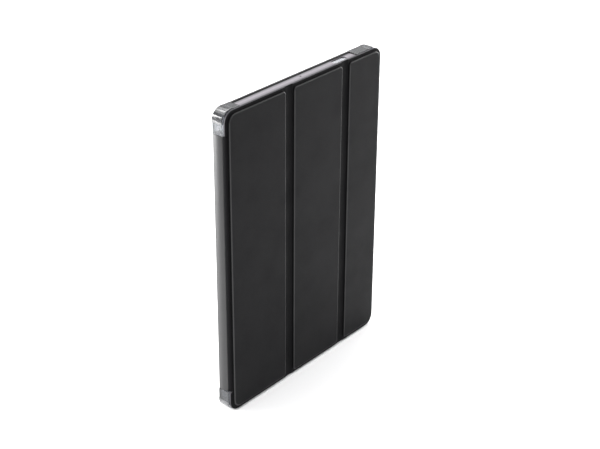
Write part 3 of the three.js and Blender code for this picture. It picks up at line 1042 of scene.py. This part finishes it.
@dataclass
class CornerBumper:
    """A soft corner: a wall round the tablet's corner with a proud knuckle and two lower legs."""

    name: str
    at_right: bool
    at_top: bool
    cavity: Outline
    knuckle: float = 10.0
    knuckle_flat: float = 3.0
    step: float = 0.4
    step_run: float = 0.5
    outer_radius: float = 9.2
    front_rounding: float = 1.0
    front_steps: int = 5
    rear_rounding: float = 0.9
    rear_share: float = 0.8  # the most of the wall behind the rim that the rear rounding takes
    lip_depth: float = 1.5
    rim_depth: float = 2.5
    rim_wall: float = 0.1  # the least wall outside the rim's seat
    arc_steps: int = 14
    lip_gap: float = 0.1
    rim_gap: float = 0.6
    chamfer: float = 0.2  # at the front of the lip's seat
    leg_end: tuple[Flat, ...] = ((0.0, 0.3), (0.09, 0.1), (0.3, 0.0))  # from a leg's end, and the inset there

    def __post_init__(self) -> None:
        """Reads the corner's box from the frame."""
        self.low, self.high = box_mm(self.name)
        self.side = 1 if self.at_right else -1
        self.up = 1 if self.at_top else -1
        self.leg_x, self.edge_x = (self.low.x, self.high.x)[:: self.side]
        self.leg_z, self.edge_z = (self.low.z, self.high.z)[:: self.up]
        self.wall_x = self.cavity.right if self.at_right else self.cavity.left
        self.wall_z = self.cavity.high if self.at_top else self.cavity.low
        self.lip_back = box_mm("retaining_lip")[1].y + self.lip_gap
        self.rim_front = box_mm("rear_rim")[0].y - self.rim_gap

    def section(self, thickness: float, inset: float) -> list[Flat]:
        """Returns the wall's section, as distance from the cavity and place along Y.

        Args:
            thickness: The wall's thickness here.
            inset: How far the section shrinks, for the rounded end of a leg.
        """
        outer = thickness - inset
        front, back = self.low.y + inset, self.high.y - inset
        lip, rim = self.lip_depth, min(self.rim_depth, thickness - self.rim_wall)
        rear = min(self.rear_rounding, self.rear_share * (outer - rim))
        ring = [(inset, self.lip_back + inset), (lip, self.lip_back + inset)]
        ring += [(lip, front + self.chamfer), (lip + self.chamfer, front)]
        turn, front_turn = self.front_rounding, quarter(self.front_steps)
        ring += [(outer - turn * (1 - sine), front + turn * (1 - cosine)) for sine, cosine in front_turn]
        rear_turn = quarter(EDGE_STEPS)
        ring += [(outer - rear * (1 - cosine), back - rear * (1 - sine)) for sine, cosine in rear_turn]
        ring += [(rim, back), (rim, self.rim_front - inset), (inset, self.rim_front - inset)]
        return ring

    def stations(self) -> list[tuple[Vector, Vector, float]]:
        """Returns stations along the wall, from the across leg's end to the upright one's.

        Each has the wall's inner point, its outer point, and how far its section shrinks.
        """
        side, up, inner_radius, radius = self.side, self.up, self.cavity.left_radius, self.outer_radius
        across_end = self.edge_x - side * (radius + self.knuckle_flat)
        up_end = self.edge_z - up * self.knuckle
        across = [(self.leg_x + side * gone, self.step, inset) for gone, inset in self.leg_end]
        across += [
            (across_end - side * self.step_run, self.step, 0.0),
            (across_end, self.step / 2, 0.0),
            (across_end + side * self.step_run, 0.0, 0.0),
            (self.edge_x - side * radius, 0.0, 0.0),
        ]
        upright = [
            (self.edge_z - up * radius, 0.0, 0.0),
            (up_end + up * self.chamfer, 0.0, 0.0),
            (up_end, self.step / 2, 0.0),
            (up_end - up * self.step_run, self.step, 0.0),
        ]
        upright += [(self.leg_z + up * gone, self.step, inset) for gone, inset in reversed(self.leg_end)]
        found = [
            (Vector((x, self.wall_z)), Vector((x, self.edge_z - up * lowered)), inset)
            for x, lowered, inset in across
        ]
        inner_centre = Vector((self.wall_x - side * inner_radius, self.wall_z - up * inner_radius))
        outer_centre = Vector((self.edge_x - side * radius, self.edge_z - up * radius))
        for k in range(1, self.arc_steps):
            angle = math.pi / 2 * k / self.arc_steps
            way = Vector((side * math.sin(angle), up * math.cos(angle)))
            found.append((inner_centre + way * inner_radius, outer_centre + way * radius, 0.0))
        found += [
            (Vector((self.wall_x, z)), Vector((self.edge_x - side * lowered, z)), inset)
            for z, lowered, inset in upright
        ]
        return found

    def build(self) -> None:
        """Sweeps the wall's section round the corner."""
        loops = []
        for inner, outer, inset in self.stations():
            away = outer - inner
            thickness = away.length
            way = away.normalized()
            ring = self.section(thickness, inset)
            loops.append([(inner.x + way.x * out, y, inner.y + way.y * out) for out, y in ring])
        piece = loft(self.name.replace("corner_bumper", "soft_corner"), loops)
        fit(piece, SOFT_CORNER, (self.name,), "tray")


@dataclass
class Tray:
    """The clear tray: back plate, rear rim, lip, frosted walls and four soft corners."""

    cavity: Outline = Outline(-87.0, 88.0, 2.9, 254.3, 8.0, 8.0)
    wall: float = 1.4
    plate_grow: float = 0.45
    lip_overlap: float = 1.2
    rim_grow: float = 2.4
    rim_lap: float = 0.5  # how far the rim's bead laps forwards on to the walls
    window: Outline = Outline(62.0, 82.0, 228.0, 248.0, 6.0, 6.0)
    collar: float = 1.6
    collar_proud: float = 0.6
    slot_low: float = -1.55
    slot_high: float = 3.85
    ports: tuple[Flat, ...] = ((0.5, 14.0), (-33.0, 17.0), (34.0, 17.0))
    volume: Flat = (214.0, 27.0)
    power: Flat = (47.0, 16.0)
    microphone: Flat = (1.0, 1.6)
    wall_corner: float = 0.3
    wall_edge: float = 0.25
    plate_edge: float = 0.18
    collar_edge: float = 0.3
    rim_edge: float = 0.4
    lip_edge: float = 0.35
    collar_depth: float = 0.5  # the plate's front face to the collar

    def build_plate(self) -> None:
        """Builds the back plate with its camera window and collar."""
        low, high = box_mm("back_plate")
        back = high.y - self.collar_proud
        outline = self.cavity.grown(self.plate_grow).points()
        body = plate("back_plate_moulded", [outline, self.window.points()], low.y, back, self.plate_edge)
        fit(body, CLEAR_SHEET, ("back_plate",), "tray")
        ring = [self.window.grown(self.collar).points(), self.window.grown(GLUE).points()]
        collar = plate("camera_collar", ring, low.y + self.collar_depth, high.y, self.collar_edge)
        fit(collar, BLACK_BEAD, (), "tray")

    def build_rings(self) -> None:
        """Builds the black rear rim and the frosted retaining lip."""
        low, high = box_mm("rear_rim")
        low.y -= self.rim_lap
        outer = self.cavity.grown(self.rim_grow, left=self.wall)
        inner = self.cavity.grown(self.plate_grow + GLUE)
        rim = plate("rear_rim_bead", [outer.points(), inner.points()], low.y, high.y, self.rim_edge)
        fit(rim, BLACK_BEAD, ("rear_rim",), "tray")
        low, high = box_mm("retaining_lip")
        outer, inner = self.cavity.grown(self.wall), self.cavity.grown(-self.lip_overlap)
        lip = plate("retaining_lip_bead", [outer.points(), inner.points()], low.y, high.y, self.lip_edge)
        fit(lip, FROSTED_LIP, ("retaining_lip",), "tray")

    def build_walls(self) -> None:
        """Builds the four frosted walls, with their slots."""
        middle, tall = (self.slot_low + self.slot_high) / 2, self.slot_high - self.slot_low
        openings = {
            "top_wall": [
                slot_loop(self.power[0], middle, self.power[1], tall),
                slot_loop(self.microphone[0], middle, self.microphone[1], self.microphone[1]),
            ],
            "bottom_wall": [slot_loop(x, middle, width, tall) for x, width in self.ports],
            "right_wall": [slot_loop(middle, self.volume[0], tall, self.volume[1])],
            "left_wall": [],
        }
        for name, holes in openings.items():
            low, high = box_mm(name)
            high.y -= self.rim_lap
            if name in ("top_wall", "bottom_wall"):
                sides, depth, facing = (low.x, high.x, low.y, high.y), (low.z, high.z), Facing.TOP
            else:
                sides, depth, facing = (low.y, high.y, low.z, high.z), (low.x, high.x), Facing.SIDE
            outline = Outline(*sides, self.wall_corner, self.wall_corner).points()
            piece = plate(name + "_moulded", [outline, *holes], *depth, self.wall_edge, facing)
            # The walls carry painted shade, darker towards the lip and the plate.
            fit(piece, FROSTED_WALL_PAINTED_SHADE, (name,), "tray")

    def build(self) -> None:
        """Builds the whole tray."""
        self.build_plate()
        self.build_rings()
        self.build_walls()
        for level in ("top", "bottom"):
            for side in ("left", "right"):
                name = f"corner_bumper_{level}_{side}"
                CornerBumper(name, side == "right", level == "top", self.cavity).build()
        dress_node("back_strip_tape", BOND)


# ---- Studio ----


@dataclass(frozen=True)
class SoftLight:
    """A soft rectangular light. Lengths are in metres, and its power is in watts."""

    name: str
    place: Point
    aim: Point
    size: Flat
    power: float

    def build(self) -> Object:
        """Adds the light to the scene and returns it."""
        data = bpy.data.lights.new(self.name, "AREA")
        data.shape = "RECTANGLE"
        data.size, data.size_y = self.size
        data.energy = self.power
        light = bpy.data.objects.new(self.name, data)
        light.location = self.place
        light.rotation_euler = (Vector(self.aim) - Vector(self.place)).to_track_quat("-Z", "Y").to_euler()
        bpy.context.scene.collection.objects.link(light)
        return light


@dataclass
class Studio:
    """Pale floor, soft lights and the camera."""

    yaw: float = math.radians(40.1689)
    pitch: float = math.radians(27.749)
    roll: float = math.radians(0.3183)
    place: Point = (-0.741088, -0.625585, 0.640690)
    lens: float = 82.849
    sensor: float = 36.0
    clip: Flat = (0.05, 20.0)
    floor_half: float = 8.0
    floor_drop: float = 0.0002  # keeps the floor just under the case
    surroundings: str = "#f6f6f7"
    surroundings_light: float = 0.86
    overhead: SoftLight = SoftLight("overhead", (0.1, 0.25, 1.5), (0.0, 0.0, 0.0), (2.2, 2.2), 26.0)
    leather_rim: SoftLight = SoftLight(
        "rear_left", (-0.65, 0.75, 0.25), (-0.09, 0.0, 0.13), (0.35, 0.8), 33.0
    )
    corner_rim: SoftLight = SoftLight(
        "rear_left_corners", (-0.65, 0.75, 0.25), (-0.09, 0.0, 0.13), (0.35, 0.8), 13.0
    )
    right: SoftLight = SoftLight("right", (0.95, -0.06, 0.4), (0.05, 0.0, 0.13), (0.12, 0.7), 9.0)
    top: SoftLight = SoftLight("top", (0.1, 0.35, 0.95), (0.0, 0.0, 0.25), (0.6, 0.3), 2.5)

    def build_camera(self) -> None:
        """Places the camera and makes it the scene's."""
        data = bpy.data.cameras.new("camera")
        data.lens = self.lens
        data.sensor_width = self.sensor
        data.clip_start, data.clip_end = self.clip
        camera = bpy.data.objects.new("camera", data)
        turn = Matrix.Rotation(self.yaw - math.pi / 2, 4, "Z")
        tilt = Matrix.Rotation(math.pi / 2 - self.pitch, 4, "X") @ Matrix.Rotation(self.roll, 4, "Z")
        camera.matrix_world = Matrix.Translation(self.place) @ turn @ tilt
        bpy.context.scene.collection.objects.link(camera)
        bpy.context.scene.camera = camera

    @staticmethod
    def aim_at(lights: list[Object], name: str, pieces: list[Object]) -> None:
        """Limits lights to some pieces, so that they draw edges without lighting the floor.

        Args:
            lights: The lights.
            name: A name for the group of pieces.
            pieces: The pieces that the lights reach.
        """
        group = bpy.data.collections.new(name)
        for piece in pieces:
            group.objects.link(piece)
        for light in lights:
            light.light_linking.receiver_collection = group

    def build(self) -> None:
        """Builds the floor, the lights and the surroundings."""
        body = bmesh.new()
        bmesh.ops.create_grid(body, x_segments=2, y_segments=2, size=self.floor_half)
        floor = to_object("floor", body)
        floor.location.z = -self.floor_drop
        floor.data.materials.append(FLOOR.material())
        sources = (self.overhead, self.leather_rim, self.corner_rim, self.right, self.top)
        overhead, leather_rim, corner_rim, *sides = (source.build() for source in sources)
        clear = [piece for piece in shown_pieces() if "corner" in piece.name]
        opaque = [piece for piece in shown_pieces() if "corner" not in piece.name]
        self.aim_at([leather_rim], "lit_leather", opaque)
        self.aim_at([corner_rim], "lit_corners", clear)
        self.aim_at(sides, "lit_by_sides", clear + opaque)
        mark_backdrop(floor, overhead, leather_rim, corner_rim, *sides)
        world = bpy.data.worlds.new("surroundings")
        world.use_nodes = True
        ground = world.node_tree.nodes["Background"]
        ground.inputs["Color"].default_value = linear(self.surroundings)
        ground.inputs["Strength"].default_value = self.surroundings_light
        scene = bpy.context.scene
        scene.world = world
        scene.view_settings.view_transform = "Standard"
        scene.view_settings.look = "None"
        self.build_camera()


def main() -> None:
    """Builds the tray, the spine, the cover and the studio, in that order."""
    logging.basicConfig(level=logging.INFO, format="%(name)s %(message)s")
    Tray().build()
    Spine().build()
    Cover().build()
    Studio().build()


if __name__ == "__main__":
    main()
